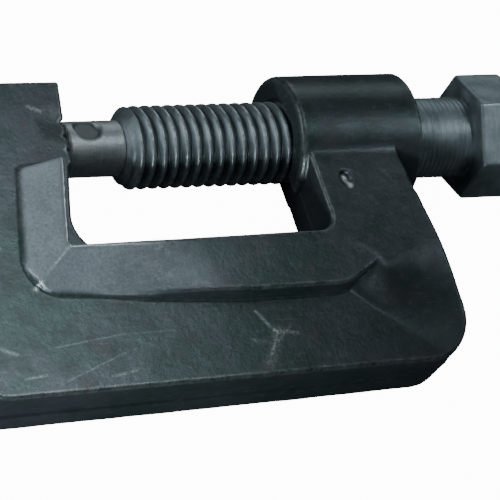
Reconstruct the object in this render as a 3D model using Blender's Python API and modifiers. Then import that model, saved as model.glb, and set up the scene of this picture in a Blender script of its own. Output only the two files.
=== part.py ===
"""Forged C clamp with a hex-headed screw and a swivelling pressure nose.

Everything is modelled in the clamp's own axes, in millimetres times MM: X runs along
the screw towards its head, Y from the spine of the C towards the screw, and Z out of
the face that carries the raised rib. X = Y = Z = 0 is where the screw's axis leaves the
boss towards the jaw. The whole clamp then hangs on one empty, which lays it on its back.
"""
import math

import bmesh
import bpy
from mathutils import Matrix, Vector

MM = 0.001

# Screw: half inch, 13 threads to the inch, right handed
SCREW_R = 6.35
PITCH = 25.4 / 13
ROOT_R = 5.2
CREST_FLAT = 0.25
THREAD_CLEARANCE = 0.24
THREAD_STEPS = 18

# Boss that carries the thread
BOSS_R = 10.56
BOSS_LENGTH = 21.2

# Plate and raised rib of the forging
PLATE_HALF = 5.12
RIB_TOP = 8.85
JAW_X = -37.6
JAW_TOP = 9.1
BASE_SLOPE = 0.0319          # the spine's foot rises this much per unit of X
BASE_Y = -41.21              # where the foot crosses X = 0
ARM_RIGHT_LEAN = 0.2226      # both arms lean towards each other as they rise
ARM_LEFT_LEAN = 0.18
ARM_RIGHT_X = 15.3           # outer side of the boss arm at Y = 0
ARM_LEFT_X = -55.5           # outer side of the jaw arm at Y = 0
THROAT_RIGHT_X = 0.5          # throat's wall on the boss arm at Y = 0
THROAT_RIGHT_LEAN = 0.11
THROAT_Y = -20.15
FOOT_CORNER_R = 6.0
EDGE_EASE = 0.6              # every sharp rim of the forging is eased
RIB_EDGE_EASE = 0.5
INSET = 0.3                  # steps between walls that would otherwise coincide

# The rib's face falls outwards on both legs: where each fall starts, its heading and slope
LEG_FALL = ((-40.5, -5.1), math.radians(171.3), math.radians(25.5))
SPINE_FALL = ((-42.8, -20.2), math.radians(-107.4), math.radians(22.5))

# Ramp from the plate up to the rib's face on the boss arm
RAMP_FOOT = (8.0, -27.4)
RAMP_HEADING = math.radians(-41.75)
RAMP_SLOPE = math.radians(18)
RAMP_TOP = RIB_TOP - 0.06

# Relief at the back of the boss arm, which widens the throat there
FLARE_FROM_Z = 2.0
FLARE_ANGLE = math.radians(8)
FLARE_SIZE = (6.0, 14.0, 10.0)
FLARE_MIDDLE_Y = -11.0

# Grip grooves across the fixed jaw
GROOVE_SPACING = 2.4
GROOVE_DEPTH = 0.8
GROOVE_SIDE = 2.0            # side of the square cutter that stands on its corner

# Centre punch mark on the boss arm, and the shallow dish on the jaw
PUNCH_AT = (6.5, -10.7)
PUNCH_R = 1.5
PUNCH_DEPTH = 1.2
DISH_AT = (-39.6, 2.4)
DISH_BALL_R = 6.0
DISH_DEPTH = 0.15

# Bevelled mouths of the threaded hole
MOUTH_DEPTH = 1.2

# Screw end, head and travel
CONE_START = -27.5
CONE_END = -25.9
HEAD_START = 33.4
SHANK_START = 21.9
SHANK_R = 6.4
HEAD_END = 42.0
HEAD_ACROSS_FLATS = 17.46
HEAD_TURN = math.radians(-24)     # a flat's turn from the ribbed side towards +Y

# Pressure nose and what holds it in the screw
NOSE_R = 4.1
NOSE_TIP = -37.3
GAP = 0.3
STEM_R = 2.2
STEM_END = -23.2
SOCKET_R = 2.5
SOCKET_END = -18.6
RING_X = -26.0
RING_WIRE_R = 0.5
RING_R = 2.3
RING_GROOVE_HALF = 0.8
RING_SWEEP = math.radians(330)
BALL_R = 2.0
BALL_X = -20.9

# Edges that turn more than this are sharp rims
SHARP_RIM = math.radians(69)

# Lying on its back, the boss and the spine's back edge touch the table
REST_TILT = math.radians(7.33)


def clear_scene():
    for item in list(bpy.data.objects):
        bpy.data.objects.remove(item)


def new_collection(name):
    group = bpy.data.collections.new(name)
    bpy.context.scene.collection.children.link(group)
    return group


clear_scene()
PARTS = new_collection("c_clamp")
CUTTERS = new_collection("cutters")


def add_mesh_object(name, mesh_data, group):
    item = bpy.data.objects.new(name, mesh_data)
    group.objects.link(item)
    return item


def add_bmesh_object(name, bm, group):
    """Turn a bmesh in millimetres into an object in metres."""
    bmesh.ops.scale(bm, vec=(MM, MM, MM), verts=bm.verts)
    bmesh.ops.recalc_face_normals(bm, faces=bm.faces)
    mesh_data = bpy.data.meshes.new(name)
    bm.to_mesh(mesh_data)
    bm.free()
    return add_mesh_object(name, mesh_data, group)


def hide_as_cutter(item):
    item.hide_render = True
    item.display_type = "WIRE"


def steel(name, color, roughness):
    material = bpy.data.materials.new(name)
    material.use_nodes = True
    shader = material.node_tree.nodes["Principled BSDF"]
    shader.inputs["Base Color"].default_value = (*color, 1.0)
    shader.inputs["Metallic"].default_value = 0.8
    shader.inputs["Roughness"].default_value = roughness
    return material


def rounded_outline(corners, arc_steps=5):
    """Replace each (x, y, radius) corner of a closed outline by an arc."""
    points = []
    count = len(corners)
    for index, (x, y, radius) in enumerate(corners):
        here = Vector((x, y))
        if radius == 0:
            points.append(here)
            continue
        before = Vector(corners[index - 1][:2]) - here
        after = Vector(corners[(index + 1) % count][:2]) - here
        half_angle = before.angle(after) / 2
        bisector = (before.normalized() + after.normalized()).normalized()
        centre = here + bisector * radius / math.sin(half_angle)
        start = here + before.normalized() * radius / math.tan(half_angle) - centre
        end = here + after.normalized() * radius / math.tan(half_angle) - centre
        sweep = start.angle_signed(end)
        for step in range(arc_steps + 1):
            turned = start.copy()
            turned.rotate(Matrix.Rotation(-sweep * step / arc_steps, 2))
            points.append(centre + turned)
    return points


def plate(name, corners, z_low, z_high, group, edge=0.0):
    """Extrude an outline between two heights, with its rims eased by edge."""
    curve = bpy.data.curves.new(name, "CURVE")
    curve.dimensions = "2D"
    curve.fill_mode = "BOTH"
    curve.extrude = (z_high - z_low) / 2 * MM
    points = rounded_outline(corners)
    spline = curve.splines.new("POLY")
    spline.points.add(len(points) - 1)
    for target, point in zip(spline.points, points):
        target.co = (point.x * MM, point.y * MM, 0, 1)
    spline.use_cyclic_u = True
    guide = bpy.data.objects.new(name + "_outline", curve)
    guide.location.z = (z_low + z_high) / 2 * MM
    group.objects.link(guide)
    bpy.context.view_layer.update()
    evaluated = guide.evaluated_get(bpy.context.evaluated_depsgraph_get())
    mesh_data = bpy.data.meshes.new_from_object(evaluated)
    mesh_data.transform(guide.matrix_world)
    bpy.data.objects.remove(guide)
    bm = bmesh.new()
    bm.from_mesh(mesh_data)
    bmesh.ops.remove_doubles(bm, verts=bm.verts, dist=1e-6)
    bmesh.ops.dissolve_limit(bm, angle_limit=0.001, verts=bm.verts, edges=bm.edges)
    if edge > 0:
        rims = []
        for rim in bm.edges:
            level = abs(rim.verts[0].co.z - rim.verts[1].co.z) < 1e-7
            if level and rim.calc_face_angle(0) > SHARP_RIM:
                rims.append(rim)
        bmesh.ops.bevel(bm, geom=rims, offset=edge * MM, segments=1, affect="EDGES")
    bmesh.ops.recalc_face_normals(bm, faces=bm.faces)
    bm.to_mesh(mesh_data)
    bm.free()
    return add_mesh_object(name, mesh_data, group)


def cylinder_x(name, x_low, x_high, radius_low, radius_high, group, segments=48):
    """Cylinder or cone about the screw's axis."""
    bm = bmesh.new()
    turn = Matrix.Translation(((x_low + x_high) / 2, 0, 0)) @ Matrix.Rotation(math.pi / 2, 4, "Y")
    bmesh.ops.create_cone(bm, cap_ends=True, segments=segments, radius1=radius_low,
                          radius2=radius_high, depth=x_high - x_low, matrix=turn)
    return add_bmesh_object(name, bm, group)


def turned(name, profile, group, steps=32):
    """Revolve (x, radius) points, given from the head end to the jaw end, about X."""
    mesh_data = bpy.data.meshes.new(name)
    verts = [(radius * MM, 0, x * MM) for x, radius in profile]
    edges = [(i, i + 1) for i in range(len(profile) - 1)]
    mesh_data.from_pydata(verts, edges, [])
    item = add_mesh_object(name, mesh_data, group)
    item.rotation_euler.y = math.pi / 2
    spin = item.modifiers.new("Turn", "SCREW")
    spin.steps = steps
    spin.render_steps = steps
    spin.use_merge_vertices = True
    spin.merge_threshold = 1e-6
    return item


def threaded_rod(name, first_turn, turns, grow, group):
    """Endless-looking right-handed thread about X, closed by a fan at each end."""
    flank = (PITCH - CREST_FLAT) / 2
    profile = [(0, ROOT_R + grow), (flank, SCREW_R + grow), (flank + CREST_FLAT, SCREW_R + grow)]
    bm = bmesh.new()
    columns = []
    for step in range(turns * THREAD_STEPS + 1):
        angle = 2 * math.pi * step / THREAD_STEPS
        along = PITCH * (first_turn + step / THREAD_STEPS)
        column = []
        for offset, radius in profile:
            column.append(bm.verts.new((along + offset, radius * math.cos(angle), radius * math.sin(angle))))
        columns.append(column)
    last_root = []
    for step in range(THREAD_STEPS + 1):
        angle = 2 * math.pi * step / THREAD_STEPS
        along = PITCH * (first_turn + turns + step / THREAD_STEPS)
        radius = ROOT_R + grow
        if step == 0:
            last_root.append(columns[turns * THREAD_STEPS][0])
        else:
            last_root.append(bm.verts.new((along, radius * math.cos(angle), radius * math.sin(angle))))

    def next_root(step):
        later = step + THREAD_STEPS
        if later <= turns * THREAD_STEPS:
            return columns[later][0]
        return last_root[later - turns * THREAD_STEPS]

    for step in range(turns * THREAD_STEPS):
        here = columns[step] + [next_root(step)]
        there = columns[step + 1] + [next_root(step + 1)]
        for index in range(3):
            bm.faces.new((here[index], here[index + 1], there[index + 1], there[index]))
    low_centre = bm.verts.new((PITCH * first_turn, 0, 0))
    high_centre = bm.verts.new((PITCH * (first_turn + turns + 1), 0, 0))
    for step in range(THREAD_STEPS):
        bm.faces.new((columns[step][0], columns[step + 1][0], low_centre))
        bm.faces.new((last_root[step + 1], last_root[step], high_centre))
    low_edge = columns[0] + [next_root(0)]
    high_edge = columns[turns * THREAD_STEPS] + [next_root(turns * THREAD_STEPS)]
    for index in range(3):
        bm.faces.new((low_edge[index + 1], low_edge[index], low_centre))
        bm.faces.new((high_edge[index], high_edge[index + 1], high_centre))
    bmesh.ops.triangulate(bm, faces=bm.faces)
    return add_bmesh_object(name, bm, group)


def boolean(target, operation, tool):
    step = target.modifiers.new(tool.name, "BOOLEAN")
    step.operation = operation
    step.solver = "EXACT"
    step.object = tool
    hide_as_cutter(tool)


def foot_y(x):
    return BASE_Y + BASE_SLOPE * x


def arm_right(y):
    return ARM_RIGHT_X - ARM_RIGHT_LEAN * y


def arm_left(y):
    return ARM_LEFT_X + ARM_LEFT_LEAN * y


def throat_right(y):
    """Wall of the boss arm inside the throat."""
    return THROAT_RIGHT_X - THROAT_RIGHT_LEAN * y


def make_frame():
    foot_left = arm_left(BASE_Y - 2)
    foot_right = arm_right(BASE_Y)
    outline = [
        (arm_left(JAW_TOP), JAW_TOP, 3.0),
        (JAW_X, JAW_TOP, 0.8),
        (JAW_X, -4.6, 0),
        (JAW_X - 0.8, -5.4, 0),
        (-40.3, THROAT_Y, 5.0),
        (throat_right(THROAT_Y), THROAT_Y + 0.5, 3.0),
        (throat_right(-2), -2, 0),
        (throat_right(-2), 3, 0),
        (arm_right(3), 3, 0),
        (foot_right, foot_y(foot_right), FOOT_CORNER_R),
        (foot_left, foot_y(foot_left), FOOT_CORNER_R),
    ]
    frame = plate("c_frame", outline, -PLATE_HALF, PLATE_HALF, PARTS, edge=EDGE_EASE)
    boolean(frame, "UNION", make_rib())
    shoulder = make_shoulder()
    boolean(frame, "UNION", shoulder)
    boss = cylinder_x("boss", 0, BOSS_LENGTH, BOSS_R, BOSS_R, CUTTERS)
    boolean(frame, "UNION", boss)
    boolean(frame, "DIFFERENCE", make_back_flare())
    for index in (-1, 0, 1):
        boolean(frame, "DIFFERENCE", make_groove(index))
    mouth = SCREW_R + THREAD_CLEARANCE + 0.5
    bore_parts = (
        cylinder_x("mouth_jaw_side", -1, MOUTH_DEPTH, mouth + 1, mouth - MOUTH_DEPTH, CUTTERS, 36),
        cylinder_x("mouth_head_side", BOSS_LENGTH - MOUTH_DEPTH, BOSS_LENGTH + 1,
                   mouth - MOUTH_DEPTH, mouth + 1, CUTTERS, 36),
        threaded_rod("thread_in_boss", -2, 13, THREAD_CLEARANCE, CUTTERS),
        make_punch_mark(),
        make_dish(),
    )
    for tool in bore_parts:
        boolean(frame, "DIFFERENCE", tool)
    frame.data.materials.append(steel("forged_steel", (0.045, 0.06, 0.065), 0.5))
    return frame


def make_rib():
    """Raised rib round the throat, whose face falls outwards on the jaw's leg and the spine."""
    outline = [
        (-47.0, -5.6, 1.2),
        (-40.5, -5.1, 0),
        (-42.8, THROAT_Y + 0.2, 0.5),
        (throat_right(THROAT_Y) - 0.2, THROAT_Y + 0.7, 2.5),
        (throat_right(-2) - 0.2, -2, 0),
        (throat_right(-2) - 0.2, 3.2, 0),
        (arm_right(3.2) - INSET, 3.2, 0),
        (arm_right(-18.6) - INSET, -18.6, 0),
        (2.6, -28.2, 6.0),
        (-14.0, -28.5, 0),
        (-30.0, -28.1, 0),
        (-50.6, -27.2, 6.5),
    ]
    rib = plate("rib", outline, -PLATE_HALF + 0.7, RIB_TOP, CUTTERS, edge=RIB_EDGE_EASE)
    boolean(rib, "DIFFERENCE", make_fall("leg_fall", *LEG_FALL))
    boolean(rib, "DIFFERENCE", make_fall("spine_fall", *SPINE_FALL))
    return rib


def make_fall(name, start, heading, slope):
    """Block above a plane that starts on the rib's face and falls along a heading."""
    reach = 60
    bm = bmesh.new()
    place = Matrix.Translation((*start, RIB_TOP))
    turn = Matrix.Rotation(heading, 4, "Z")
    tip = Matrix.Rotation(slope, 4, "Y")
    lift = Matrix.Translation((0, 0, reach / 2))
    bmesh.ops.create_cube(bm, size=reach, matrix=place @ turn @ tip @ lift)
    return add_bmesh_object(name, bm, CUTTERS)


def make_shoulder():
    """Ramp that runs the rib's face down into the plate at the foot of the boss arm."""
    outline = [
        (8.0, -22.0, 0),
        (arm_right(-12) - 2 * INSET, -12, 0),
        (arm_right(-39) - 2 * INSET, -39.3, 0),
        (21.5, -39.3, 0),
        (*RAMP_FOOT, 0),
    ]
    ramp = plate("shoulder", outline, 0, RAMP_TOP, CUTTERS)
    bm = bmesh.new()
    reach = 60
    foot = Matrix.Translation((*RAMP_FOOT, PLATE_HALF - 0.1))
    heading = Matrix.Rotation(RAMP_HEADING, 4, "Z")
    slope = Matrix.Rotation(RAMP_SLOPE, 4, "X")
    lift = Matrix.Translation((0, 0, reach / 2))
    bmesh.ops.create_cube(bm, size=reach, matrix=foot @ heading @ slope @ lift)
    boolean(ramp, "DIFFERENCE", add_bmesh_object("shoulder_slope", bm, CUTTERS))
    return ramp


def make_back_flare():
    """Relief that widens the throat towards the back along the boss arm."""
    bm = bmesh.new()
    corner = Matrix.Translation((throat_right(FLARE_MIDDLE_Y), FLARE_MIDDLE_Y, FLARE_FROM_Z))
    lean = Matrix.Rotation(math.atan(THROAT_RIGHT_LEAN), 4, "Z")
    flare = Matrix.Rotation(FLARE_ANGLE, 4, "Y")
    shift = Matrix.Translation((-FLARE_SIZE[0] / 2, 0, -FLARE_SIZE[2] / 2))
    size = Matrix.Diagonal((*FLARE_SIZE, 1))
    bmesh.ops.create_cube(bm, size=1, matrix=corner @ lean @ flare @ shift @ size)
    return add_bmesh_object("back_flare", bm, CUTTERS)


def make_groove(index):
    bm = bmesh.new()
    centre_x = JAW_X - GROOVE_DEPTH + GROOVE_SIDE / math.sqrt(2)
    place = Matrix.Translation((centre_x, index * GROOVE_SPACING, 0)) @ Matrix.Rotation(math.pi / 4, 4, "Z")
    size = Matrix.Diagonal((GROOVE_SIDE, GROOVE_SIDE, 4 * RIB_TOP, 1))
    bmesh.ops.create_cube(bm, size=1, matrix=place @ size)
    return add_bmesh_object(f"groove_{index + 1}", bm, CUTTERS)


def make_punch_mark():
    bm = bmesh.new()
    place = Matrix.Translation((*PUNCH_AT, RIB_TOP))
    bmesh.ops.create_cone(bm, cap_ends=True, segments=12, radius1=0.05, radius2=PUNCH_R,
                          depth=2 * PUNCH_DEPTH, matrix=place)
    return add_bmesh_object("punch_mark", bm, CUTTERS)


def make_dish():
    bm = bmesh.new()
    place = Matrix.Translation((*DISH_AT, PLATE_HALF + DISH_BALL_R - DISH_DEPTH))
    bmesh.ops.create_uvsphere(bm, u_segments=24, v_segments=24, radius=DISH_BALL_R, matrix=place)
    return add_bmesh_object("dish", bm, CUTTERS)


def make_screw():
    envelope = [
        (HEAD_START + 2, 0), (HEAD_START + 2, SCREW_R), (CONE_END, SCREW_R),
        (CONE_START, NOSE_R), (CONE_START, 0),
    ]
    screw = threaded_rod("clamp_screw", -16, 35, 0, PARTS)
    boolean(screw, "INTERSECT", turned("screw_envelope", envelope, CUTTERS, 36))
    shank = [
        (HEAD_START + 1, 0), (HEAD_START + 1, SHANK_R), (SHANK_START, SHANK_R), (SHANK_START, 0),
    ]
    boolean(screw, "UNION", turned("plain_shank", shank, CUTTERS, 36))
    bm = bmesh.new()
    corner_r = HEAD_ACROSS_FLATS / math.sqrt(3)
    place = Matrix.Translation(((HEAD_START + HEAD_END) / 2, 0, 0)) @ Matrix.Rotation(-HEAD_TURN, 4, "X")
    place = place @ Matrix.Rotation(math.pi / 2, 4, "Y") @ Matrix.Rotation(math.pi, 4, "Z")
    bmesh.ops.create_cone(bm, cap_ends=True, segments=6, radius1=corner_r, radius2=corner_r,
                          depth=HEAD_END - HEAD_START, matrix=place)
    head = add_bmesh_object("hex_head", bm, CUTTERS)
    crown = [
        (HEAD_END + 1, 0), (HEAD_END + 1, corner_r - 3.0), (HEAD_END - 1.2, corner_r + 0.4),
        (HEAD_START + 0.6, corner_r + 0.4), (HEAD_START - 0.6, corner_r - 1.2), (HEAD_START - 0.6, 0),
    ]
    boolean(head, "INTERSECT", turned("head_chamfer", crown, CUTTERS, 36))
    boolean(screw, "UNION", head)
    socket = [
        (SOCKET_END, 0), (SOCKET_END, SOCKET_R),
        (RING_X + RING_GROOVE_HALF, SOCKET_R), (RING_X + RING_GROOVE_HALF, RING_R + RING_GROOVE_HALF),
        (RING_X - RING_GROOVE_HALF, RING_R + RING_GROOVE_HALF), (RING_X - RING_GROOVE_HALF, SOCKET_R),
        (CONE_START - 1, SOCKET_R), (CONE_START - 1, 0),
    ]
    boolean(screw, "DIFFERENCE", turned("nose_socket", socket, CUTTERS, 28))
    screw.data.materials.append(steel("screw_steel", (0.085, 0.11, 0.12), 0.42))
    return screw


def make_nose():
    profile = [
        (STEM_END, 0), (STEM_END, STEM_R - 0.3), (STEM_END - 0.3, STEM_R),
        (RING_X + RING_GROOVE_HALF, STEM_R), (RING_X + RING_GROOVE_HALF, RING_R - RING_GROOVE_HALF),
        (RING_X - RING_GROOVE_HALF, RING_R - RING_GROOVE_HALF), (RING_X - RING_GROOVE_HALF, STEM_R),
        (CONE_START - GAP, STEM_R), (CONE_START - GAP, NOSE_R), (NOSE_TIP + 0.9, NOSE_R),
        (NOSE_TIP + 0.3, NOSE_R - 0.35), (NOSE_TIP, NOSE_R - 1.1), (NOSE_TIP, 0),
    ]
    nose = turned("pressure_nose", profile, PARTS, 32)
    nose.data.materials.append(steel("nose_steel", (0.12, 0.15, 0.16), 0.35))
    return nose


def make_ring():
    """Split spring ring that keeps the nose in its socket and lets it turn."""
    curve = bpy.data.curves.new("nose_snap_ring", "CURVE")
    curve.dimensions = "3D"
    curve.bevel_depth = RING_WIRE_R * MM
    curve.bevel_resolution = 1
    curve.use_fill_caps = True
    spline = curve.splines.new("POLY")
    count = 22
    spline.points.add(count - 1)
    for index, point in enumerate(spline.points):
        angle = RING_SWEEP * index / (count - 1)
        point.co = (RING_X * MM, RING_R * math.cos(angle) * MM, RING_R * math.sin(angle) * MM, 1)
    ring = bpy.data.objects.new("nose_snap_ring", curve)
    PARTS.objects.link(ring)
    curve.materials.append(steel("spring_steel", (0.3, 0.31, 0.32), 0.3))
    return ring


def make_ball():
    bm = bmesh.new()
    bmesh.ops.create_uvsphere(bm, u_segments=16, v_segments=10, radius=BALL_R)
    ball = add_bmesh_object("thrust_ball", bm, PARTS)
    ball.location.x = BALL_X * MM
    ball.data.materials.append(steel("ball_steel", (0.5, 0.5, 0.5), 0.15))
    return ball


def shade(item):
    if item.type == "MESH":
        item.data.shade_smooth()
        item.data.set_sharp_from_angle(angle=math.radians(35))


def lay_on_back(items):
    """Hang everything on one empty, tip it, and set its box's foot centre at the origin."""
    rest = bpy.data.objects.new("lying_clamp", None)
    PARTS.objects.link(rest)
    rest.rotation_euler.x = REST_TILT
    for item in items:
        item.parent = rest
    for tool in CUTTERS.objects:
        tool.parent = rest
    bpy.context.view_layer.update()
    graph = bpy.context.evaluated_depsgraph_get()
    corners = []
    for item in items:
        evaluated = item.evaluated_get(graph)
        mesh_data = evaluated.to_mesh()
        corners.extend(evaluated.matrix_world @ vertex.co for vertex in mesh_data.vertices)
        evaluated.to_mesh_clear()
    low = [min(c[axis] for c in corners) for axis in range(3)]
    high = [max(c[axis] for c in corners) for axis in range(3)]
    rest.location = (-(low[0] + high[0]) / 2, -(low[1] + high[1]) / 2, -low[2])
    bpy.context.view_layer.update()
    return rest


pieces = [make_frame(), make_screw(), make_nose(), make_ring(), make_ball()]
for piece in pieces:
    shade(piece)
lying = lay_on_back(pieces)
origin = tuple(round(value, 6) for value in lying.location)
print("clamp origin (screw axis at the boss, jaw side), in metres:", origin)
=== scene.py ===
"""Looks of a forged C clamp: finely modelled frame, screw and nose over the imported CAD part.

Shapes are worked out in the clamp's own axes, in millimetres, as the CAD source does: X along
the screw towards its head, Y from the spine towards the screw, Z out of the ribbed face. They
are then laid on their back in the row frame.
"""
import math

import bpy
import numpy as np
from mathutils import Matrix, Vector


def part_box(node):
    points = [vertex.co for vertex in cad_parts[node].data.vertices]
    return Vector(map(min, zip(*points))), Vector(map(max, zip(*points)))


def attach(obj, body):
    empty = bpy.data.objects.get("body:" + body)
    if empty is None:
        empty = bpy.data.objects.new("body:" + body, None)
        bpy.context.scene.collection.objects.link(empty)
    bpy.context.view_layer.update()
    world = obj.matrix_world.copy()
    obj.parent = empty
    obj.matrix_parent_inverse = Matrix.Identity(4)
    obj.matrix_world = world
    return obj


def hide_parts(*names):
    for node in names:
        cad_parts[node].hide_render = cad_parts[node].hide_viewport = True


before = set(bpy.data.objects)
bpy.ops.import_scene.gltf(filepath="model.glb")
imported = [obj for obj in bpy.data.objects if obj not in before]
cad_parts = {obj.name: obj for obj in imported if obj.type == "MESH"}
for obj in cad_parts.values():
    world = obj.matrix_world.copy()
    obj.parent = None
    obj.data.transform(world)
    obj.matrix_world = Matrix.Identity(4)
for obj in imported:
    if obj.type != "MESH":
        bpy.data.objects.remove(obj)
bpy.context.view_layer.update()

MM = 0.001
TILT = math.radians(7.33)
BALL_X = -20.9
ball_low, ball_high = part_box("thrust_ball")
ORIGIN = (ball_low + ball_high) / 2 - Vector((BALL_X * MM, 0, 0))
LAY = Matrix.Translation(ORIGIN) @ Matrix.Rotation(TILT, 4, "X") @ Matrix.Scale(MM, 4)

# Forging
PLATE_HALF = 5.12
RIB_TOP = 8.85
RIB_FALL = 0.54
BOSS_R = 10.5
BOSS_LENGTH = 21.35
JAW_X = -37.6
GROOVE_SPACING = 2.4
GROOVE_DEPTH = 0.36
RELIEF_TOP = 2.0
FLASH_HEIGHT = 0.14
HEEL = 0.50
# Shallow dish in the jaw's face, left by a ball whose centre lies above it
DISH_AT = (-39.7, 2.4)
DISH_LIFT = 8.75
DISH_R = 8.85
# Oval punch mark at the top of the boss arm
PUNCH_AT = (6.4, -10.5)
PUNCH_RUN = (0.38, -0.93)
PUNCH_R = 0.95
FRAME_LOW = (-65.2, -44.4, -11.4)
FRAME_HIGH = (26.2, 11.4, 11.4)

# Screw
PITCH = 25.4 / 13
CREST_R = 6.6
ROOT_R = 5.45
CREST_FLAT = 0.42
CLEARANCE = 0.24
SHANK_START = 21.9
SHANK_R = 6.42
CONE_START = -27.5
CONE_END = -25.9
HEAD_START = 33.15
HEAD_END = 42.0
HEAD_ACROSS_FLATS = 17.46
HEAD_TURN = math.radians(-24)
SOCKET_R = 2.5
SOCKET_END = -18.6

# Nose
STEM_R = 2.2
STEM_END = -23.2
RING_X = -26.0
RING_GROOVE_HALF = 0.8
RING_GROOVE_R = 1.5
NOSE_R = 4.42
NOSE_BACK = -27.55
NOSE_TIP = -37.3
TIP_ROUND = 0.95
# Worn flat on the nose: where it lies, its size and how far it is from the axis
WORN_X = -33.3
WORN_R = 2.55
WORN_DEPTH = 3.52
WORN_TURN = math.radians(64)


# ---------------------------------------------------------------- distance fields

def clip01(value):
    return np.clip(value, 0.0, 1.0)


def smooth_min(a, b, k):
    h = clip01(0.5 + 0.5 * (b - a) / k)
    return b + (a - b) * h - k * h * (1 - h)


def smooth_max(a, b, k):
    return -smooth_min(-a, -b, k)


def ease(value):
    t = clip01(value)
    return t * t * (3 - 2 * t)


def rounded(corners, steps=8):
    """Points of a closed outline whose (x, y, radius) corners are replaced by arcs."""
    points = []
    count = len(corners)
    for index, (x, y, radius) in enumerate(corners):
        here = np.array((x, y), float)
        if radius == 0:
            points.append(here)
            continue
        before = np.array(corners[index - 1][:2], float) - here
        after = np.array(corners[(index + 1) % count][:2], float) - here
        before /= np.linalg.norm(before)
        after /= np.linalg.norm(after)
        half = math.acos(np.clip(before @ after, -1, 1)) / 2
        middle = before + after
        middle /= np.linalg.norm(middle)
        centre = here + middle * radius / math.sin(half)
        start = here + before * radius / math.tan(half) - centre
        end = here + after * radius / math.tan(half) - centre
        sweep = math.atan2(start[0] * end[1] - start[1] * end[0], start @ end)
        for step in range(steps + 1):
            a = sweep * step / steps
            c, s = math.cos(a), math.sin(a)
            points.append(centre + np.array((c * start[0] - s * start[1], s * start[0] + c * start[1])))
    return np.array(points)


def outline_distance(x, y, points):
    """Signed distance to a closed outline, negative inside."""
    best = np.full(np.broadcast(x, y).shape, 1e9)
    flips = np.ones_like(best)
    for index in range(len(points)):
        ax, ay = points[index]
        bx, by = points[index - 1]
        ex, ey = bx - ax, by - ay
        wx, wy = x - ax, y - ay
        t = clip01((wx * ex + wy * ey) / (ex * ex + ey * ey))
        dx, dy = wx - ex * t, wy - ey * t
        best = np.minimum(best, dx * dx + dy * dy)
        above, below = y >= ay, y < by
        left = ex * wy > ey * wx
        cross = (above & below & left) | (~above & ~below & ~left)
        flips = np.where(cross, -flips, flips)
    return flips * np.sqrt(best)


def ripple(x, y, z, scale, phase):
    """Gentle unevenness made of a few crossed waves."""
    a = np.sin((0.83 * x + 0.41 * y - 0.37 * z) / scale + phase)
    b = np.sin((-0.47 * x + 0.79 * y + 0.29 * z) / scale * 1.37 + 2.1 * phase)
    c = np.sin((0.31 * x - 0.55 * y + 0.71 * z) / scale * 1.91 + 0.7 * phase)
    return (a * b + b * c + c * a) / 3


def thread_radius(x, angle, root, crest):
    """Radius of a right-handed thread whose root line passes x = 0 at angle 0."""
    turn = x / PITCH - angle / (2 * math.pi)
    along = (turn - np.floor(turn)) * PITCH
    flank = (PITCH - CREST_FLAT) / 2
    away = np.abs(along - flank - CREST_FLAT / 2) - CREST_FLAT / 2
    raw = crest - (crest - root) * away / flank
    eased_crest = smooth_min(raw, crest, 0.22)
    return smooth_max(eased_crest, root + 0.08, 0.25)


def arm_right(y):
    """X of the boss arm's outer side."""
    return 15.3 - 0.229 * y


def arm_left(y):
    """X of the jaw arm's outer side."""
    return -55.5 + 0.18 * y


def throat_right(y):
    """X of the throat's side that carries the boss."""
    return 0.5 - 0.11 * y


def foot(x):
    """Y of the spine's outer side."""
    return -41.21 + 0.0319 * x


THROAT_Y = -20.15
RIGHT_FOOT_X = arm_right(-41.21)
LEFT_FOOT_X = arm_left(-43.2)
PLATE_OUTLINE = rounded([
    (arm_left(9.5), 9.5, 3.0),
    (JAW_X + 0.7, 9.5, 0.5),
    (JAW_X + 0.25, 4.6, 0),
    (JAW_X, -4.6, 0.5),
    (JAW_X - 0.8, -5.4, 0.6),
    (-40.8, THROAT_Y + 0.1, 5.8),
    (throat_right(THROAT_Y), THROAT_Y + 0.6, 3.0),
    (throat_right(4), 4, 0),
    (arm_right(4), 4, 0),
    (RIGHT_FOOT_X, foot(RIGHT_FOOT_X), 7.0),
    (LEFT_FOOT_X, foot(LEFT_FOOT_X), 6.0),
])
RIB_OUTLINE = rounded([
    (-47.0, -5.4, 1.0),
    (-40.5, -5.0, 0.4),
    (-42.9, THROAT_Y + 0.15, 0.6),
    (throat_right(THROAT_Y) - 0.1, THROAT_Y + 0.85, 2.5),
    (throat_right(3.4) - 0.1, 3.4, 0),
    (arm_right(3.4) - 0.3, 3.4, 0),
    (arm_right(-18.6) - 0.3, -18.6, 0),
    (2.6, -28.35, 7.0),
    (-14.0, -28.65, 0),
    (-30.0, -27.95, 0),
    (-38.0, -27.1, 0),
    (-50.6, -26.8, 6.3),
])
# Inner edges of the rib's two sloping legs: a point, then the direction pointing out of the throat
LEG_EDGE = ((-40.5, -5.1), (-0.9885, 0.1505))
SPINE_EDGE = ((-42.8, -20.2), (-0.0125, -0.9999))
# Fan that rises from the plate, round the rib's end, up to the rib's face at the arm's outer side
FAN_AT = (3.6, -28.2)
FAN_FROM = math.radians(-43)
FAN_SWEEP = math.radians(68)
FAN_REACH = 6.8


def beyond(x, y, edge):
    """Distance past an edge, given as a point and a direction."""
    at, out = edge
    return (x - at[0]) * out[0] + (y - at[1]) * out[1]


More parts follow.
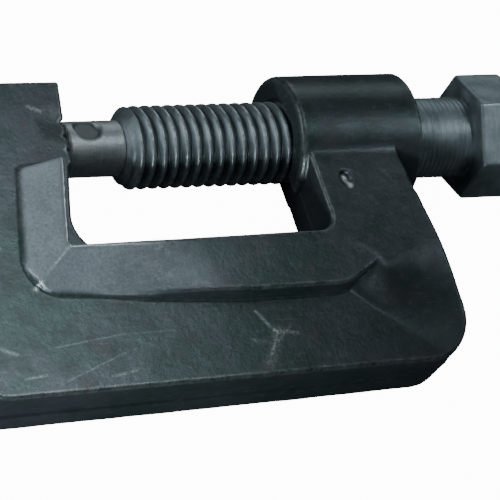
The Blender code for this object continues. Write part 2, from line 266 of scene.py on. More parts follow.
def frame_field(x, y, z):
    """Distance-like field of the forging, negative inside, in millimetres."""
    # plate, with a line of flash at the parting plane and a heel behind it along the spine's foot
    plan = outline_distance(x, y, PLATE_OUTLINE)
    flash = FLASH_HEIGHT * np.exp(-((z + 0.1) / 0.34) ** 2)
    heel = (HEEL + 0.006 * (16 - x)) * ease((-0.3 - z) / 0.7)
    heel = heel * ease((-34.0 - y) / 4.0) * ease((22 - x) / 7)
    walls = plan + 0.020 * np.maximum(z, 0) - 0.12 - flash - heel
    body = smooth_max(walls, np.abs(z) - PLATE_HALF, 0.6)

    # rib, whose face falls away from the throat more and more towards the jaw
    rib_plan = outline_distance(x, y, RIB_OUTLINE)
    fall = np.maximum(beyond(x, y, LEG_EDGE), beyond(x, y, SPINE_EDGE))
    slope = 0.03 + (RIB_FALL - 0.03) * ease((-17.0 - x) / 27.0)
    top = RIB_TOP - slope * np.maximum(fall, 0)
    rib_walls = rib_plan + 0.08 * (z - top)
    rib = smooth_max(rib_walls, np.maximum(z - top, -z - 3.5), 0.45)
    body = smooth_min(body, rib, 0.6)

    # fan at the rib's end
    around = np.arctan2(y - FAN_AT[1], x - FAN_AT[0])
    away = np.hypot(x - FAN_AT[0], y - FAN_AT[1])
    rise = ease((around - FAN_FROM) / FAN_SWEEP) * ease(away / FAN_REACH)
    fan_top = PLATE_HALF - 0.05 + (RIB_TOP - PLATE_HALF + 0.05) * rise
    fan_side = smooth_max(plan + 0.020 * np.abs(z) - 0.10, FAN_AT[0] - x, 1.5)
    fan_side = smooth_max(fan_side, y + 12.0, 2.0)
    fan = smooth_max(smooth_max(fan_side, (z - fan_top) * 0.95, 0.6), -z - 3.0, 0.5)
    body = np.minimum(body, fan)

    r = np.sqrt(y * y + z * z)
    rim = np.where(x < BOSS_LENGTH / 2, 1.0, 0.4)
    boss = smooth_max(r - BOSS_R - 0.05, np.abs(x - BOSS_LENGTH / 2) - BOSS_LENGTH / 2, rim)
    body = smooth_min(body, boss, 0.45)

    # relief towards the back, which also takes the boss's lower back corner
    off_wall = x - throat_right(y)
    flare = off_wall - 0.14 * (RELIEF_TOP - z) - 0.5 * np.maximum(-5.1 - z, 0)
    relief = np.maximum(np.maximum(flare, z - RELIEF_TOP), np.maximum(y + 2.5, -18.0 - y))
    relief = np.maximum(relief, -4.0 - off_wall)
    body = smooth_max(body, -relief, 0.6)
    body = body + 0.035 * ripple(x, y, z, 2.6, 0.4) + 0.05 * ripple(x, y, z, 6.1, 1.9)

    # threaded bore with a chamfered mouth at each end
    angle = np.arctan2(z, y)
    bore_r = thread_radius(x, angle, ROOT_R + CLEARANCE, CREST_R + CLEARANCE)
    bore = (r - bore_r) * 0.75
    mouth = r - (CREST_R + CLEARANCE + 0.5 - np.minimum(x + 0.2, BOSS_LENGTH + 0.2 - x))
    bore = np.minimum(bore, mouth * 0.7)
    bore = np.maximum(bore, np.abs(x - BOSS_LENGTH / 2) - BOSS_LENGTH / 2 - 1.0)
    body = np.maximum(body, -bore)

    # grooves of the jaw, then the dish and the punch mark
    for index in (-1, 0, 1):
        across = y - index * GROOVE_SPACING
        groove = np.abs(across) * 0.72 - (x - JAW_X) * 0.70 - GROOVE_DEPTH
        groove = np.maximum(groove, x - JAW_X - 1.5)
        body = smooth_max(body, -groove, 0.18)

    dish_up = z - PLATE_HALF - DISH_LIFT
    dish = np.sqrt((x - DISH_AT[0]) ** 2 + (y - DISH_AT[1]) ** 2 + dish_up ** 2) - DISH_R
    body = smooth_max(body, -dish, 0.5)
    px = x - PUNCH_AT[0]
    py = y - PUNCH_AT[1]
    along = px * PUNCH_RUN[0] + py * PUNCH_RUN[1]
    side = py * PUNCH_RUN[0] - px * PUNCH_RUN[1]
    punch = np.sqrt((along * 0.75) ** 2 + side ** 2 + (z - RIB_TOP - 0.1) ** 2 * 1.2) - PUNCH_R
    body = smooth_max(body, -punch, 0.25)
    return body


def head_field(x, y, z):
    """Hexagon head with chamfered corners, dimpled face and a short length of shank."""
    half = HEAD_ACROSS_FLATS / 2
    body = np.full(np.broadcast(x, y, z).shape, -1e9)
    for k in range(6):
        a = HEAD_TURN + k * math.pi / 3
        body = smooth_max(body, y * math.sin(a) + z * math.cos(a) - half, 0.3)
    r = np.sqrt(y * y + z * z)
    corner = HEAD_ACROSS_FLATS / math.sqrt(3)
    body = smooth_max(body, (r - corner + 0.9 + (x - HEAD_END + 0.3) * 1.7) * 0.5, 0.4)
    body = smooth_max(body, (r - corner + 0.05 - (x - HEAD_START) * 1.4) * 0.58, 0.4)
    body = smooth_max(body, np.abs(x - (HEAD_START + HEAD_END) / 2) - (HEAD_END - HEAD_START) / 2, 0.5)
    dimple = np.sqrt((x - HEAD_END - 3.4) ** 2 + r * r) - 4.6
    body = smooth_max(body, -dimple, 0.5)
    neck = np.maximum(r - SHANK_R + 0.15, np.abs(x - 33.0) - 1.6)
    body = smooth_min(body, neck, 0.5)
    return body + 0.03 * ripple(x, y, z, 1.7, 0.9) + 0.04 * ripple(x, y, z, 4.3, 2.3)


# ---------------------------------------------------------------- meshing

def field_mesh(field, low, high, step):
    """Surface-net mesh of a field: vertices on the surface and quads, in millimetres."""
    axes = [np.arange(low[i], high[i] + step, step) for i in range(3)]
    values = field(axes[0][:, None, None], axes[1][None, :, None], axes[2][None, None, :])
    inside = values < 0
    nx, ny, nz = inside.shape
    count = np.zeros((nx - 1, ny - 1, nz - 1), np.uint8)
    for i in (0, 1):
        for j in (0, 1):
            for k in (0, 1):
                count += inside[i:nx - 1 + i, j:ny - 1 + j, k:nz - 1 + k]
    cells = np.argwhere((count > 0) & (count < 8))
    number = np.full(count.shape, -1, np.int64)
    number[tuple(cells.T)] = np.arange(len(cells))
    total = np.zeros((len(cells), 3))
    hits = np.zeros(len(cells))
    for axis in range(3):
        others = [a for a in range(3) if a != axis]
        for p in (0, 1):
            for q in (0, 1):
                start = cells.copy()
                start[:, others[0]] += p
                start[:, others[1]] += q
                end = start.copy()
                end[:, axis] += 1
                a = values[tuple(start.T)]
                b = values[tuple(end.T)]
                crossing = (a < 0) != (b < 0)
                t = np.where(crossing, a / np.where(crossing, a - b, 1.0), 0.0)
                spot = start.astype(float)
                spot[:, axis] += t
                total += spot * crossing[:, None]
                hits += crossing
    points = total / hits[:, None] * step + np.array([axis[0] for axis in axes])
    quads = []
    for axis in range(3):
        u, v = [a for a in range(3) if a != axis]
        first = inside.take(range(inside.shape[axis] - 1), axis)
        second = inside.take(range(1, inside.shape[axis]), axis)
        crossing = np.argwhere(first != second)
        ok = (crossing[:, u] > 0) & (crossing[:, v] > 0)
        ok &= (crossing[:, u] < inside.shape[u] - 1) & (crossing[:, v] < inside.shape[v] - 1)
        crossing = crossing[ok]
        outward = first[tuple(crossing.T)]
        ring = []
        for du, dv in ((0, 0), (1, 0), (1, 1), (0, 1)):
            cell = crossing.copy()
            cell[:, u] -= 1 - du
            cell[:, v] -= 1 - dv
            ring.append(number[tuple(cell.T)])
        ring = np.stack(ring, 1)
        if axis == 1:
            outward = ~outward
        ring[~outward] = ring[~outward][:, ::-1]
        quads.append(ring)
    quads = np.concatenate(quads)
    return settle(field, points, step), quads


def gradient(field, p, h=0.02):
    """Slope of a field at each point, from values h to either side."""
    g = np.empty_like(p)
    for axis in range(3):
        d = np.zeros(3)
        d[axis] = h
        q = p + d
        o = p - d
        g[:, axis] = (field(q[:, 0], q[:, 1], q[:, 2]) - field(o[:, 0], o[:, 1], o[:, 2])) / (2 * h)
    return g


def settle(field, points, step):
    """Pull net vertices onto the field's true surface."""
    p = points.copy()
    for _ in range(2):
        value = field(p[:, 0], p[:, 1], p[:, 2])
        g = gradient(field, p)
        move = -value[:, None] * g / np.maximum((g * g).sum(1), 0.05)[:, None]
        length = np.linalg.norm(move, axis=1, keepdims=True)
        p += move * np.minimum(1.0, 0.5 * step / np.maximum(length, 1e-9))
    return p


def wear_and_hollow(field, p, reach):
    """How convex and how hollow the surface is at each point, from the field just in and out; the hollow
    share is what the materials use to paint shade.
    """
    g = gradient(field, p)
    n = g / np.maximum(np.linalg.norm(g, axis=1, keepdims=True), 1e-6)
    deep = p - n * reach
    high = p + n * reach
    wear = 1 + field(deep[:, 0], deep[:, 1], deep[:, 2]) / reach
    hollow = 1 - field(high[:, 0], high[:, 1], high[:, 2]) / reach
    return clip01(wear), clip01(hollow)


def lay(points):
    """Millimetres in the clamp's axes to metres in the row frame."""
    m = np.array(LAY)
    return points @ m[:3, :3].T + m[:3, 3]


def polish_and_sheen_share(p):
    """Where handling has polished the forging, with a painted sheen that lightens it: the rib, more
    towards the jaw.
    """
    x, y, z = p[:, 0], p[:, 1], p[:, 2]
    in_plan = ease((0.25 - outline_distance(x, y, RIB_OUTLINE)) / 0.5)
    above_plate = ease((z - PLATE_HALF - 0.2) / 0.5)
    return in_plan * above_plate * ease((-22.0 - x) / 20.0)


def add_piece(name, points, faces, body, replaced, marks):
    """Mesh object in the row frame that rides on a body and stands for the replaced nodes."""
    mesh = bpy.data.meshes.new(name)
    mesh.from_pydata(lay(points).tolist(), [], [list(f) for f in faces])
    for label, data in marks.items():
        layer = mesh.attributes.new(label, "FLOAT", "POINT")
        layer.data.foreach_set("value", np.asarray(data, np.float32))
    mesh.validate()
    mesh.update()
    mesh.shade_smooth()
    item = bpy.data.objects.new(name, mesh)
    bpy.context.scene.collection.objects.link(item)
    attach(item, body)
    for node in replaced:
        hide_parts(node)
    return item


def revolved_grid(xs, radii, angles):
    """Points of a surface round X; radii has one row per x."""
    ring_y = radii * np.cos(angles)[None, :]
    ring_z = radii * np.sin(angles)[None, :]
    ring_x = np.repeat(xs[:, None], len(angles), 1)
    points = np.stack([ring_x, ring_y, ring_z], -1).reshape(-1, 3)
    rows, columns = radii.shape
    i = np.arange(rows - 1)[:, None] * columns
    j = np.arange(columns)[None, :]
    k = (j + 1) % columns
    faces = np.stack([i + j, i + columns + j, i + columns + k, i + k], -1).reshape(-1, 4)
    return points, faces


# ---------------------------------------------------------------- pieces

def make_frame_piece():
    step = 0.3
    points, quads = field_mesh(frame_field, FRAME_LOW, FRAME_HIGH, step)
    wear, hollow = wear_and_hollow(frame_field, points, 0.7)
    return add_piece("forged_frame", points, quads, "frame", ["c_frame"],
                     {"wear": wear, "hollow": hollow, "polish_and_sheen": polish_and_sheen_share(points)})


def make_bar():
    """Threaded bar with its socket and plain shank: points, faces, wear and hollow."""
    xs = np.arange(CONE_START, HEAD_START + 0.3, 0.11)
    columns = 120
    angles = np.linspace(0, 2 * math.pi, columns, endpoint=False)
    x = xs[:, None]
    radii = thread_radius(x, angles[None, :], ROOT_R, CREST_R)
    cone = NOSE_R + 0.06 + (CREST_R + 0.1 - NOSE_R) * clip01((x - CONE_START) / (CONE_END - CONE_START))
    radii = smooth_min(radii, cone, 0.25)
    runout = ease((x - SHANK_START) / 1.4)
    turning = 0.045 * np.sin(2 * math.pi * x / 0.82) + 0.02 * np.sin(2 * math.pi * x / 0.31)
    radii = radii * (1 - runout) + (SHANK_R + turning) * runout
    dents = 0.02 * ripple(x, 6 * np.cos(angles)[None, :], 6 * np.sin(angles)[None, :], 0.9, 0.3)
    radii = radii + dents * clip01((radii - ROOT_R - 0.1) / (CREST_R - ROOT_R - 0.2))

    # the socket's walls come first, then the end face, then the outside
    socket_x = [SOCKET_END, SOCKET_END + 0.01, CONE_START + 0.35, CONE_START + 0.05, CONE_START]
    socket_r = np.array([0.05, SOCKET_R, SOCKET_R, SOCKET_R + 0.12, SOCKET_R + 0.35])
    all_x = np.concatenate([socket_x, [CONE_START], xs])
    face_r = np.full((1, columns), NOSE_R - 0.05)
    all_r = np.concatenate([np.repeat(socket_r[:, None], columns, 1), face_r, radii])
    points, faces = revolved_grid(all_x, all_r, angles)

    wear = clip01((all_r - ROOT_R - 0.55) / (CREST_R - ROOT_R - 0.55))
    # the hollow mark paints shade: deep in the thread's roots, weaker on the cone, in the shank's turning
    # grooves
    hollow = clip01(1 - (all_r - ROOT_R) / 0.55)
    on_cone = ((all_x > CONE_START - 0.1) & (all_x < CONE_END))[:, None] & (all_r > SOCKET_R + 1)
    hollow = np.where(on_cone, hollow * 0.3, hollow)
    wear = np.where(on_cone, 0.35, wear)
    on_shank = (all_x > SHANK_START + 1)[:, None]
    hollow = np.where(on_shank, clip01((SHANK_R - all_r) / 0.3), hollow)
    wear = np.where(on_shank, clip01((all_r - SHANK_R) / 0.2), wear)
    return points, faces[:, ::-1], wear.reshape(-1), hollow.reshape(-1)


def make_screw_piece():
    points, faces, wear, hollow = make_bar()
    step = 0.25
    r = HEAD_ACROSS_FLATS / math.sqrt(3) + 0.7
    head_points, head_faces = field_mesh(head_field, (31.0, -r, -r), (HEAD_END + 0.7, r, r), step)
    head_wear, head_hollow = wear_and_hollow(head_field, head_points, 0.6)
    faces = np.concatenate([faces, head_faces + len(points)])
    points = np.concatenate([points, head_points])
    return add_piece("threaded_screw", points, faces, "screw", ["clamp_screw"],
                     {"wear": np.concatenate([wear, 0.45 * head_wear]),
                      "hollow": np.concatenate([hollow, head_hollow])})


def nose_profile():
    """(x, radius) points from the stem's end to the middle of the nose's tip."""
    profile = [
        (STEM_END, 0.05), (STEM_END, STEM_R - 0.3), (STEM_END - 0.3, STEM_R),
        (RING_X + RING_GROOVE_HALF, STEM_R), (RING_X + RING_GROOVE_HALF, RING_GROOVE_R),
        (RING_X - RING_GROOVE_HALF, RING_GROOVE_R), (RING_X - RING_GROOVE_HALF, STEM_R),
        (NOSE_BACK, STEM_R), (NOSE_BACK, NOSE_R - 0.05), (NOSE_BACK - 0.05, NOSE_R),
    ]
    profile += [(x, NOSE_R) for x in np.arange(NOSE_BACK - 0.3, NOSE_TIP + 1.0, -0.12)]
    for a in np.linspace(0, math.pi / 2, 14):
        profile.append((NOSE_TIP + TIP_ROUND * (1 - math.sin(a)), NOSE_R - TIP_ROUND * (1 - math.cos(a))))
    profile += [(NOSE_TIP, 1.6), (NOSE_TIP, 0.05)]
    return np.array(profile)


def make_nose_piece():
    xs, rs = nose_profile().T
    columns = 144
    angles = np.linspace(0, 2 * math.pi, columns, endpoint=False)
    x = xs[:, None]
    radii = np.repeat(rs[:, None], columns, 1)
    # worn flat with a round end on the side that faces the rib
    across = radii * np.sin(angles[None, :] - WORN_TURN)
    ahead = np.cos(angles[None, :] - WORN_TURN)
    bulge = np.sqrt((x - WORN_X) ** 2 + (across * 0.95) ** 2)
    share = ease((WORN_R - bulge) / 0.6) * (ahead > 0.3)
    cut = np.minimum(radii, WORN_DEPTH / np.maximum(ahead, 0.2))
    radii = radii * (1 - share) + cut * share
    side = (x < NOSE_BACK - 0.35) & (x > NOSE_TIP - 0.5)
    dents = ripple(x, 4 * np.cos(angles)[None, :], 4 * np.sin(angles)[None, :], 0.8, 1.1)
    radii = radii + np.where(side, 0.02, 0) * dents
    points, faces = revolved_grid(xs, radii, angles)
    wear = np.maximum(clip01((NOSE_TIP + 1.2 - x) / 0.9), 0.5 * share)
    # painted dark reflection: the worn flat is darkened through the hollow mark
    hollow = share * 0.8
    return add_piece("nose_piece", points, faces, "nose", ["pressure_nose"],
                     {"wear": wear.reshape(-1), "hollow": hollow.reshape(-1)})


# ---------------------------------------------------------------- materials

class Nodes:
    """Small helper that adds and joins shader nodes."""

    def __init__(self, name):
        self.material = bpy.data.materials.new(name)
        self.material.use_nodes = True
        self.tree = self.material.node_tree
        self.shader = self.tree.nodes["Principled BSDF"]
        self.place = self.clamp_coordinates()

    def add(self, kind, **settings):
        node = self.tree.nodes.new(kind)
        for key, value in settings.items():
            setattr(node, key, value)
        return node

    def join(self, out, into):
        self.tree.links.new(out, into)

    def put(self, socket, value):
        if isinstance(value, bpy.types.NodeSocket):
            self.join(value, socket)
        else:
            socket.default_value = value

    def clamp_coordinates(self):
        """Millimetres in the clamp's own axes, from the object's own coordinates."""
        coords = self.add("ShaderNodeTexCoord")
        mapping = self.add("ShaderNodeMapping")
        back = LAY.inverted()
        mapping.inputs["Location"].default_value = back.to_translation()
        mapping.inputs["Rotation"].default_value = (-TILT, 0, 0)
        mapping.inputs["Scale"].default_value = (1 / MM, 1 / MM, 1 / MM)
        self.join(coords.outputs["Object"], mapping.inputs["Vector"])
        return mapping.outputs["Vector"]

    def stretch(self, scale, shift=(0, 0, 0)):
        mapping = self.add("ShaderNodeMapping")
        mapping.inputs["Scale"].default_value = scale
        mapping.inputs["Location"].default_value = shift
        self.join(self.place, mapping.inputs["Vector"])
        return mapping.outputs["Vector"]

    def math(self, operation, a, b=0.0, clamp=False):
        node = self.add("ShaderNodeMath", operation=operation, use_clamp=clamp)
        self.put(node.inputs[0], a)
        self.put(node.inputs[1], b)
        return node.outputs[0]

    def noise(self, size, detail=4.0, roughness=0.55, scale=(1, 1, 1), shift=(0, 0, 0), distortion=0.0):
        node = self.add("ShaderNodeTexNoise")
        node.inputs["Scale"].default_value = 1.0 / size
        node.inputs["Detail"].default_value = detail
        node.inputs["Roughness"].default_value = roughness
        node.inputs["Distortion"].default_value = distortion
        self.join(self.stretch(scale, shift), node.inputs["Vector"])
        return node.outputs["Fac"]

    def band(self, value, low, high):
        node = self.add("ShaderNodeMapRange", interpolation_type="SMOOTHSTEP")
        self.put(node.inputs["Value"], value)
        node.inputs["From Min"].default_value = low
        node.inputs["From Max"].default_value = high
        return node.outputs["Result"]

    def mix(self, factor, a, b):
        node = self.add("ShaderNodeMix", data_type="RGBA")
        self.put(node.inputs["Factor"], factor)
        for socket, value in ((node.inputs[6], a), (node.inputs[7], b)):
            if isinstance(value, tuple):
                value = (*value, 1.0)
            self.put(socket, value)
        return node.outputs[2]

    def attribute(self, name):
        return self.add("ShaderNodeAttribute", attribute_name=name).outputs["Fac"]

    def stroke(self, a, b, width, break_up=None):
        """Mask of a scratch from a to b in the clamp's XY plane, in millimetres."""
        flat = self.add("ShaderNodeVectorMath", operation="MULTIPLY")
        self.join(self.place, flat.inputs[0])
        flat.inputs[1].default_value = (1, 1, 0)
        rel = self.add("ShaderNodeVectorMath", operation="SUBTRACT")
        self.join(flat.outputs[0], rel.inputs[0])
        rel.inputs[1].default_value = (*a, 0)
        run = Vector((b[0] - a[0], b[1] - a[1], 0))
        dot = self.add("ShaderNodeVectorMath", operation="DOT_PRODUCT")
        self.join(rel.outputs[0], dot.inputs[0])
        dot.inputs[1].default_value = run / run.length_squared
        t = self.math("ADD", dot.outputs["Value"], 0.0, clamp=True)
        foot_of = self.add("ShaderNodeVectorMath", operation="SCALE")
        foot_of.inputs[0].default_value = run
        self.join(t, foot_of.inputs["Scale"])
        gap = self.add("ShaderNodeVectorMath", operation="DISTANCE")
        self.join(rel.outputs[0], gap.inputs[0])
        self.join(foot_of.outputs[0], gap.inputs[1])
        mask = self.band(gap.outputs["Value"], width, 0.0)
        if break_up is not None:
            mask = self.math("MULTIPLY", mask, break_up)
        return mask

    def total(self, values):
        out = values[0]
        for value in values[1:]:
            out = self.math("ADD", out, value)
        return out

    def bump(self, heights):
        """Chain of bumps; each entry is (height, distance in mm, strength)."""
        normal = None
        for height, distance, strength in heights:
            node = self.add("ShaderNodeBump")
            node.inputs["Strength"].default_value = strength
            node.inputs["Distance"].default_value = distance * MM
            self.join(height, node.inputs["Height"])
            if normal is not None:
                self.join(normal, node.inputs["Normal"])
            normal = node.outputs["Normal"]
        self.join(normal, self.shader.inputs["Normal"])


# Scratches and scuffs of the ribbed side, and painted highlights on the rib's mitre ridge and at the
# jaw's dish: start, end, width, strength
SCRATCHES_AND_HIGHLIGHTS = (
    ((-9.4, -34.2), (-12.4, -39.8), 1.50, 0.22),
    ((-9.9, -34.6), (-11.9, -38.2), 0.40, 0.40),
    ((-12.9, -31.0), (-10.4, -34.4), 0.45, 0.50),
    ((-10.4, -34.4), (-6.6, -34.9), 0.55, 0.35),
    ((-10.0, -36.0), (-7.4, -33.6), 0.35, 0.25),
    ((-14.6, -35.8), (-12.0, -36.2), 0.60, 0.15),
    ((-47.2, -35.2), (-36.0, -33.6), 0.25, 0.22),
    ((-36.0, -33.6), (-27.0, -33.4), 0.20, 0.14),
    ((-56.0, -35.0), (-53.6, -36.0), 0.45, 0.30),
    ((-46.5, -40.8), (-36.0, -36.6), 0.25, 0.18),
    ((-39.0, -40.4), (-34.8, -39.6), 0.40, 0.28),
    ((-53.0, -40.0), (-49.6, -39.6), 0.35, 0.30),
    ((-54.0, -16.5), (-52.6, -18.6), 0.30, 0.25),
    # painted highlight: glint at the upper edge of the jaw's dish
    ((-43.1, 5.1), (-41.2, 4.3), 0.55, 0.50),
    # painted highlights: the rib's mitre ridge, then a brighter spot at its outer end
    ((-43.1, -20.3), (-48.4, -25.6), 0.30, 0.80),
    ((-47.6, -24.8), (-48.5, -25.7), 0.60, 0.60),
    ((7.4, -9.2), (9.4, -10.6), 0.40, 0.12),
)


def forged_material():
    """Black scale with blue, green and brown cast, polished grey on the rib with a painted sheen towards
    the jaw, worn at its edges; painted shade in hollows and in the jaw's dish, and painted highlights at
    the punch mark, the rib's mitre ridge and the jaw's dish.
    """
    n = Nodes("black_forging")
    wear = n.attribute("wear")
    hollow = n.attribute("hollow")
    wide = n.noise(17.0, detail=3.0)
    cloud = n.noise(5.5, detail=5.0, shift=(13, 4, 0))
    mottle = n.noise(1.3, detail=4.0, roughness=0.65)
    speck = n.noise(0.42, detail=3.0, roughness=0.7, shift=(3, 9, 5))
    base = n.mix(n.band(wide, 0.38, 0.64), (0.040, 0.066, 0.066), (0.066, 0.082, 0.094))
    base = n.mix(n.math("MULTIPLY", n.band(cloud, 0.52, 0.72), 0.45), base, (0.086, 0.074, 0.078))
    base = n.mix(n.math("MULTIPLY", n.band(cloud, 0.47, 0.28), 0.5), base, (0.028, 0.062, 0.055))
    base = n.mix(n.math("MULTIPLY", n.band(mottle, 0.50, 0.78), 0.50), base, (0.120, 0.145, 0.155))
    split = n.add("ShaderNodeSeparateXYZ")
    n.join(n.place, split.inputs[0])
    worn_off = n.band(n.math("ADD", speck, n.math("MULTIPLY", wide, 0.3)), 0.35, 0.95)
    bare = n.math("ADD", 0.62, n.math("MULTIPLY", worn_off, 0.5))
    # polish from handling, plus a painted sheen: the rib lightened more towards the jaw
    polish_and_sheen = n.math("MULTIPLY", n.attribute("polish_and_sheen"), bare, clamp=True)
    base = n.mix(polish_and_sheen, base, (0.37, 0.44, 0.49))
    edge = n.math("MULTIPLY", n.band(wear, 0.10, 0.42), n.band(n.math("ADD", mottle, speck), 0.72, 1.12))
    base = n.mix(n.math("MULTIPLY", edge, 0.55), base, (0.27, 0.30, 0.31))
    # painted shade: hollows and creases darkened
    base = n.mix(n.math("MULTIPLY", n.band(hollow, 0.12, 0.55), 0.55), base, (0.018, 0.028, 0.028))
    ragged = n.math("ADD", n.math("MULTIPLY", n.band(speck, 0.36, 0.62), 0.7), 0.15)
    marks = []
    for start, end, width, strength in SCRATCHES_AND_HIGHLIGHTS:
        marks.append(n.math("MULTIPLY", n.stroke(start, end, width, ragged), strength))
    scratches_and_highlights = n.math("MINIMUM", n.total(marks), 1.0)
    top_only = n.band(split.outputs["Z"], 4.2, 4.9)
    scratches_and_highlights = n.math("MULTIPLY", scratches_and_highlights, top_only)
    hair = n.noise(0.9, detail=2.0, scale=(0.16, 2.6, 0.5), shift=(2, 7, 1), distortion=0.6)
    hairs = n.math("MULTIPLY", n.band(hair, 0.64, 0.72), n.band(cloud, 0.46, 0.62))
    base = n.mix(n.math("MULTIPLY", hairs, 0.22), base, (0.25, 0.28, 0.29))
    # scratches lightened grey, together with painted highlights on the rib's mitre ridge and at the jaw's
    # dish
    base = n.mix(scratches_and_highlights, base, (0.50, 0.55, 0.56))
    glint = n.stroke((6.15, -10.3), (6.75, -11.9), 0.75)
    glint = n.math("MULTIPLY", glint, n.band(split.outputs["Z"], 2.0, 3.0))
    base = n.mix(glint, base, (0.95, 0.97, 0.97))
    # painted shade inside the jaw's dish
    dish_shade = n.stroke((-40.2, 2.9), (-39.2, 2.0), 2.3)
    base = n.mix(n.math("MULTIPLY", dish_shade, 0.55), base, (0.030, 0.052, 0.052))
    n.join(base, n.shader.inputs["Base Color"])
    n.shader.inputs["Metallic"].default_value = 0.55
    rough = n.math("ADD", 0.38, n.math("MULTIPLY", n.math("SUBTRACT", mottle, 0.5), 0.30))
    rough = n.math("SUBTRACT", rough, n.math("MULTIPLY", edge, 0.08))
    rough = n.math("ADD", rough, n.math("MULTIPLY", n.band(cloud, 0.40, 0.68), 0.08), clamp=True)
    n.join(rough, n.shader.inputs["Roughness"])
    grain = n.noise(0.55, detail=5.0, roughness=0.62, shift=(5, 5, 5))
    dents = n.noise(3.2, detail=3.0, shift=(1, 8, 3))
    n.bump([(dents, 0.16, 0.6), (grain, 0.045, 0.85), (scratches_and_highlights, -0.04, 0.6)])
    return n.material


def turned_material(name, dark, light, worn, rough_base, lines):
    """Machined and oxidised steel with fine lathe lines round the screw's axis, and painted shade
    wherever the hollow mark is set.
    """
    n = Nodes(name)
    wear = n.attribute("wear")
    hollow = n.attribute("hollow")
    cloud = n.noise(3.4, detail=4.0)
    mottle = n.noise(0.9, detail=4.0, roughness=0.65, shift=(2, 4, 6))
    lathe = n.noise(1.0, detail=3.0, roughness=0.6, scale=(7.0, 0.25, 0.25), shift=(1, 2, 3))
    base = n.mix(n.band(cloud, 0.36, 0.66), dark, light)
    base = n.mix(n.math("MULTIPLY", n.band(lathe, 0.50, 0.75), 0.4), base, worn)
    base = n.mix(n.math("MULTIPLY", n.band(mottle, 0.55, 0.80), 0.4), base, (0.23, 0.27, 0.28))
    patchy = n.math("ADD", mottle, n.math("MULTIPLY", lathe, 0.3))
    edge = n.math("MULTIPLY", n.band(wear, 0.45, 1.0), n.band(patchy, 0.48, 0.82))
    base = n.mix(n.math("MULTIPLY", edge, 0.85), base, worn)
    # painted shade: hollows, thread roots and turning grooves darkened
    base = n.mix(n.math("MULTIPLY", n.band(hollow, 0.10, 0.95), 0.8), base, (0.02, 0.028, 0.03))
    n.join(base, n.shader.inputs["Base Color"])
    n.shader.inputs["Metallic"].default_value = 0.75
    rough = n.math("ADD", rough_base, n.math("MULTIPLY", n.math("SUBTRACT", cloud, 0.5), 0.25))
    rough = n.math("SUBTRACT", rough, n.math("MULTIPLY", edge, 0.08), clamp=True)
    n.join(rough, n.shader.inputs["Roughness"])
    grain = n.noise(0.45, detail=4.0, roughness=0.6, shift=(7, 1, 3))
    n.bump([(lathe, 0.03, lines), (mottle, 0.08, 0.6), (grain, 0.04, 0.9)])
    return n.material


def bright_material(name, color, rough):
    """Bright drawn steel of the small inner parts."""
    n = Nodes(name)
    cloud = n.noise(0.8, detail=4.0)
    fine = n.noise(0.12, detail=3.0, shift=(4, 4, 4))
    darker = tuple(0.6 * c for c in color)
    n.join(n.mix(n.band(cloud, 0.35, 0.7), darker, color), n.shader.inputs["Base Color"])
    n.shader.inputs["Metallic"].default_value = 1.0
    n.join(n.math("ADD", rough, n.math("MULTIPLY", fine, 0.15), clamp=True), n.shader.inputs["Roughness"])
    n.bump([(fine, 0.01, 0.4)])
    return n.material


def dress(item, material):
    """Give a piece its one material."""
    item.data.materials.clear()
    item.data.materials.append(material)


dress(make_frame_piece(), forged_material())
dress(make_screw_piece(), turned_material(
    "oxidised_screw", (0.19, 0.245, 0.265), (0.29, 0.35, 0.375), (0.50, 0.57, 0.60), 0.47, 0.8))
dress(make_nose_piece(), turned_material(
    "turned_nose", (0.30, 0.345, 0.365), (0.42, 0.47, 0.49), (0.70, 0.75, 0.78), 0.46, 0.3))
dress(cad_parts["nose_snap_ring"], bright_material("spring_wire", (0.45, 0.46, 0.47), 0.25))
dress(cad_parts["thrust_ball"], bright_material("bearing_ball", (0.62, 0.62, 0.61), 0.10))


# ---------------------------------------------------------------- stage, lights and camera

def clamp_point(x, y, z):
    """Point of the row frame, from millimetres in the clamp's axes."""
    return LAY @ Vector((x, y, z))


def make_floor():
    """Pale floor that glows for the camera only, so that it throws little light back."""
    half = 0.9
    drop = -0.0001
    mesh = bpy.data.meshes.new("floor")
    corners = [(-half, -half, drop), (half, -half, drop), (half, half, drop), (-half, half, drop)]
    mesh.from_pydata(corners, [], [(0, 1, 2, 3)])
    floor = bpy.data.objects.new("floor", mesh)
    bpy.context.scene.collection.objects.link(floor)
    material = bpy.data.materials.new("pale_floor")
    material.use_nodes = True
    tree = material.node_tree
    shader = tree.nodes["Principled BSDF"]
    shader.inputs["Base Color"].default_value = (0.80, 0.81, 0.82, 1)
    shader.inputs["Roughness"].default_value = 0.9
    shader.inputs["Specular IOR Level"].default_value = 0.1
    glow = tree.nodes.new("ShaderNodeEmission")
    glow.inputs["Color"].default_value = (1, 1, 1, 1)
    glow.inputs["Strength"].default_value = 13.0
    dark = tree.nodes.new("ShaderNodeBsdfDiffuse")
    dark.inputs["Color"].default_value = (0.20, 0.21, 0.22, 1)
    seen = tree.nodes.new("ShaderNodeLightPath")
    both = tree.nodes.new("ShaderNodeAddShader")
    pick = tree.nodes.new("ShaderNodeMixShader")
    tree.links.new(shader.outputs[0], both.inputs[0])
    tree.links.new(glow.outputs[0], both.inputs[1])
    tree.links.new(seen.outputs["Is Camera Ray"], pick.inputs["Fac"])
    tree.links.new(dark.outputs[0], pick.inputs[1])
    tree.links.new(both.outputs[0], pick.inputs[2])
    tree.links.new(pick.outputs[0], tree.nodes["Material Output"].inputs["Surface"])
    mesh.materials.append(material)


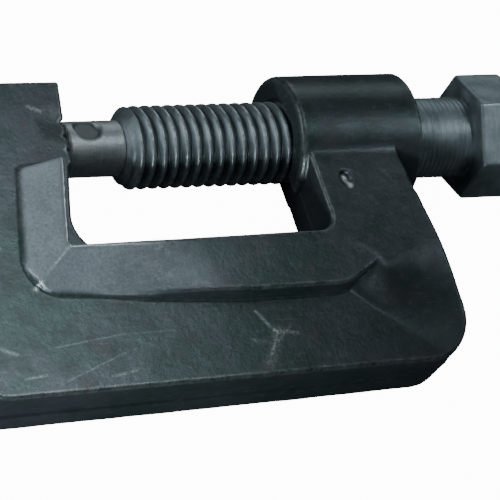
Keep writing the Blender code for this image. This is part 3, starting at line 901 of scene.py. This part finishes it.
def add_light(name, at, target, size, power, color, spread=180):
    """Area light; places are in millimetres in the clamp's axes, spread is in degrees."""
    data = bpy.data.lights.new(name, "AREA")
    data.shape = "RECTANGLE"
    data.size, data.size_y = size
    data.energy = power
    data.spread = math.radians(spread)
    data.color = color
    light = bpy.data.objects.new(name, data)
    light.location = clamp_point(*at)
    aim = light.location - clamp_point(*target)
    light.rotation_mode = "QUATERNION"
    light.rotation_quaternion = aim.to_track_quat("Z", "Y")
    bpy.context.scene.collection.objects.link(light)


def make_world():
    world = bpy.data.worlds.new("studio")
    bpy.context.scene.world = world
    world.use_nodes = True
    background = world.node_tree.nodes["Background"]
    background.inputs["Color"].default_value = (0.80, 0.88, 0.92, 1)
    background.inputs["Strength"].default_value = 0.035


def make_camera():
    """Long lens that looks down on the ribbed face, in millimetres in the clamp's axes."""
    lean = 0.4353450
    height = 0.4162678
    roll = 0.0459052
    side = math.sqrt(1 - lean * lean)
    back = Vector((-lean, -side * math.sin(height), side * math.cos(height)))
    across = Vector((side, -lean * math.sin(height), lean * math.cos(height)))
    up = back.cross(across)
    right = across * math.cos(roll) - up * math.sin(roll)
    true_up = across * math.sin(roll) + up * math.cos(roll)
    ahead = 682.86
    offset = Vector((3.699, 16.986, -ahead))
    eye = -(right * offset.x + true_up * offset.y + back * offset.z)
    data = bpy.data.cameras.new("camera")
    data.sensor_width = 36.0
    data.lens = 309.708
    data.clip_start = 0.05
    data.clip_end = 20
    camera = bpy.data.objects.new("camera", data)
    turn = Matrix((right, true_up, back)).transposed().to_4x4()
    placed = Matrix.Rotation(TILT, 4, "X") @ turn
    placed.translation = clamp_point(*eye)
    camera.matrix_world = placed
    bpy.context.scene.collection.objects.link(camera)
    bpy.context.scene.camera = camera


make_floor()
add_light("key_softbox", (-2, 12, 170), (-76, -34, 8), (0.08, 0.08), 0.0172, (0.93, 0.98, 1.0), 60)
add_light("left_fill", (-260, 60, 120), (-30, -10, 0), (0.16, 0.12), 0.20, (0.95, 0.98, 1.0))
add_light("low_fill", (-220, -300, 70), (-44, -12, 0), (0.10, 0.08), 0.027, (0.90, 0.97, 1.0), 22)
add_light("head_light", (106, 4, 150), (44, 5, 5), (0.05, 0.05), 0.0033, (0.90, 0.97, 1.0), 24)
add_light("back_fill", (110, 380, 110), (0, 0, 0), (0.34, 0.14), 0.25, (0.90, 0.97, 1.0))
make_world()
make_camera()
